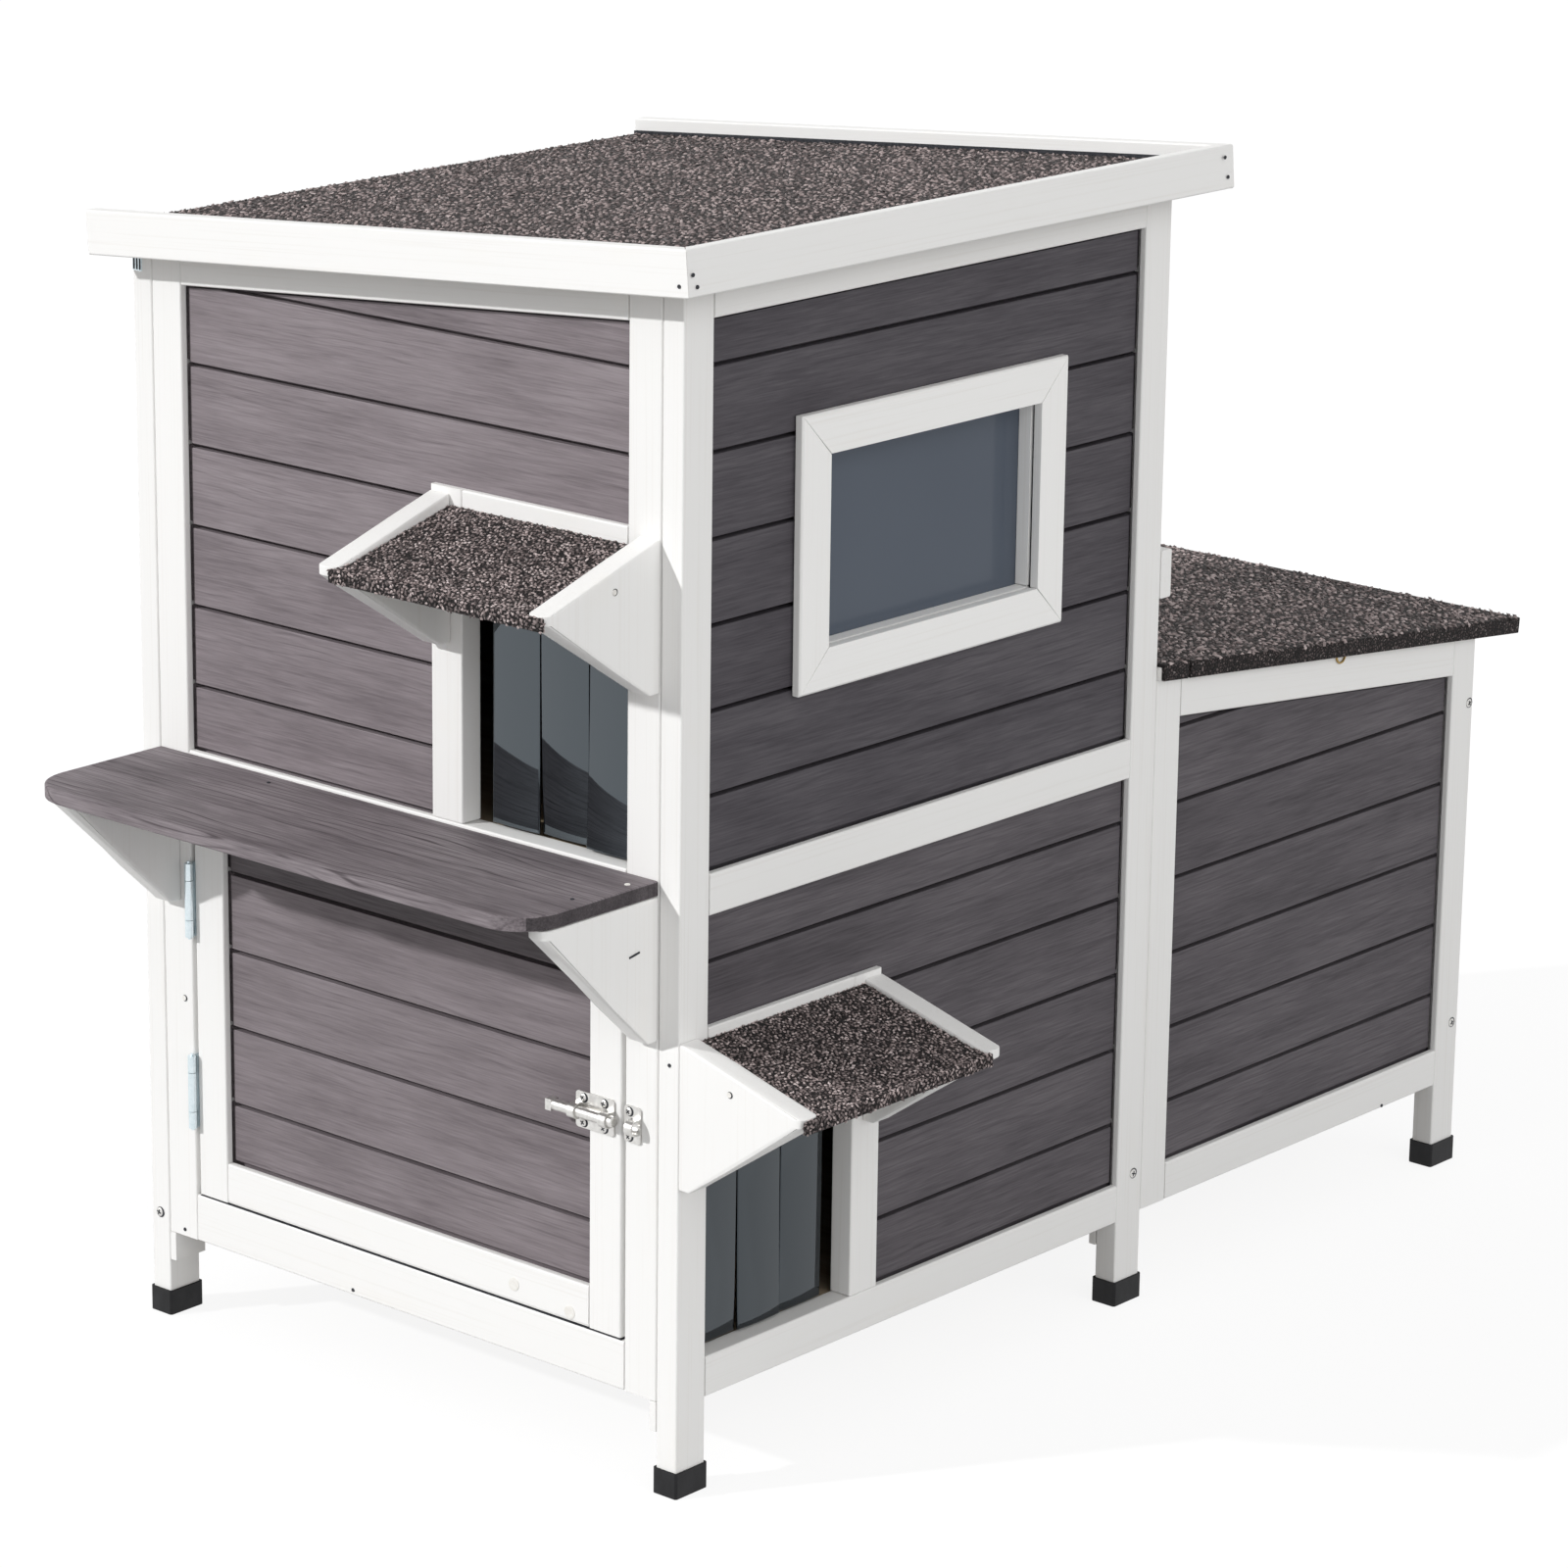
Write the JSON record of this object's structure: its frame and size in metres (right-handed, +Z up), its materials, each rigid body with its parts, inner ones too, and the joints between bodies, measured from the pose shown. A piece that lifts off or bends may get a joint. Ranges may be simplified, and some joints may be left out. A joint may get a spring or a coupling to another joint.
{
  "type": "outdoor cat house",
  "caption": "Two-storey outdoor cat house of painted boards with a felted sloping roof, a hinged front door under a shelf, strip-curtain cat doors, a window and a lidded extension.",
  "frame": {"origin": "middle of the overall box, on the floor under the feet", "axes": "+Z up; the front with the door and the shelf faces -Y; the window wall faces +X; the extension is at +Y"},
  "size_m": [0.6102, 1.0462, 0.8178],
  "materials": {
    "white_paint": "satin white paint",
    "grey_stain": "matt grey stain",
    "bare_softwood": "planed",
    "asphalt_felt": "granulated asphalt felt",
    "zinc_steel": "zinc plated",
    "pvc_strip": "flexible translucent strip",
    "window_pane": "clear sheet",
    "foot_cap": "moulded black"
  },
  "bodies": {
    "house": {"right_side_frame": "white_paint", "left_side_frame": "white_paint", "front_frame": "white_paint", "rear_frame": "white_paint", "window_frame": "white_paint", "window_lining": "white_paint", "corner_blocks": "white_paint", "front_fascia": "white_paint", "rear_fascia": "white_paint", "right_fascia": "white_paint", "upper_canopy_cheeks": "white_paint", "lower_canopy_cheeks": "white_paint", "shelf_brackets": "white_paint", "extension_right_frame": "white_paint", "extension_left_frame": "white_paint", "extension_rear_frame": "white_paint", "rear_batten": "white_paint", "lid_hinge_rail": "white_paint", "right_upper_boards": "grey_stain", "right_lower_boards": "grey_stain", "left_boards": "grey_stain", "front_upper_boards": "grey_stain", "rear_boards": "grey_stain", "shelf": "grey_stain", "extension_right_boards": "grey_stain", "extension_left_boards": "grey_stain", "extension_rear_boards": "grey_stain", "window_beads": "bare_softwood", "main_floor": "bare_softwood", "upper_floor": "bare_softwood", "extension_floor": "bare_softwood", "floor_cleats": "bare_softwood", "roof_deck": "bare_softwood", "canopy_decks": "bare_softwood", "strip_clamps": "bare_softwood", "roof_felt": "asphalt_felt", "upper_canopy_felt": "asphalt_felt", "lower_canopy_felt": "asphalt_felt", "lid_front_felt": "asphalt_felt", "door_hinge_fixed_leaves": "zinc_steel", "hinge_pins": "zinc_steel", "bolt_keeper": "zinc_steel", "lid_hinge_fixed_leaves": "zinc_steel", "window_pane": "window_pane", "foot_caps": "foot_cap"},
    "door": {"door_frame": "white_paint", "door_boards": "grey_stain", "door_hinge_moving_leaves": "zinc_steel", "bolt_plate": "zinc_steel"},
    "bolt": {"bolt": "zinc_steel"},
    "lid": {"lid_deck": "bare_softwood", "lid_felt": "asphalt_felt", "lid_battens": "bare_softwood", "lid_hinge_moving_leaves": "zinc_steel"},
    "upper_strip_1": {"upper_strip_1": "pvc_strip"},
    "upper_strip_2": {"upper_strip_2": "pvc_strip"},
    "upper_strip_3": {"upper_strip_3": "pvc_strip"},
    "lower_strip_1": {"lower_strip_1": "pvc_strip"},
    "lower_strip_2": {"lower_strip_2": "pvc_strip"},
    "lower_strip_3": {"lower_strip_3": "pvc_strip"}
  },
  "joints": [
    {"name": "front_door_hinge", "type": "hinge", "parent": "house", "child": "door", "pos_m": [-0.24339, -0.40463, 0.24], "axis": [0, 0, -1], "range_deg": [0, 95]},
    {"name": "door_bolt_slide", "type": "slide", "parent": "door", "child": "bolt", "axis": [1, 0, 0], "range_m": [0, 0.014]},
    {"name": "extension_lid_hinge", "type": "hinge", "parent": "house", "child": "lid", "pos_m": [-0.04589, 0.11546, 0.46088], "axis": [1, 0, 0], "range_deg": [0, 95]},
    {"name": "upper_strip_1_swing", "type": "hinge", "parent": "house", "child": "upper_strip_1", "pos_m": [0.12961, -0.38613, 0.5937], "axis": [1, 0, 0], "range_deg": [-70, 70]},
    {"name": "lower_strip_1_swing", "type": "hinge", "parent": "house", "child": "lower_strip_1", "pos_m": [0.18411, -0.34963, 0.2727], "axis": [0, 1, 0], "range_deg": [-70, 70]},
    {"name": "upper_strip_2_swing", "type": "hinge", "parent": "house", "child": "upper_strip_2", "pos_m": [0.08741, -0.38613, 0.5937], "axis": [1, 0, 0], "range_deg": [-70, 70]},
    {"name": "lower_strip_2_swing", "type": "hinge", "parent": "house", "child": "lower_strip_2", "pos_m": [0.18411, -0.30743, 0.2727], "axis": [0, 1, 0], "range_deg": [-70, 70]},
    {"name": "upper_strip_3_swing", "type": "hinge", "parent": "house", "child": "upper_strip_3", "pos_m": [0.04521, -0.38613, 0.5937], "axis": [1, 0, 0], "range_deg": [-70, 70]},
    {"name": "lower_strip_3_swing", "type": "hinge", "parent": "house", "child": "lower_strip_3", "pos_m": [0.18411, -0.26523, 0.2727], "axis": [0, 1, 0], "range_deg": [-70, 70]}
  ]
}
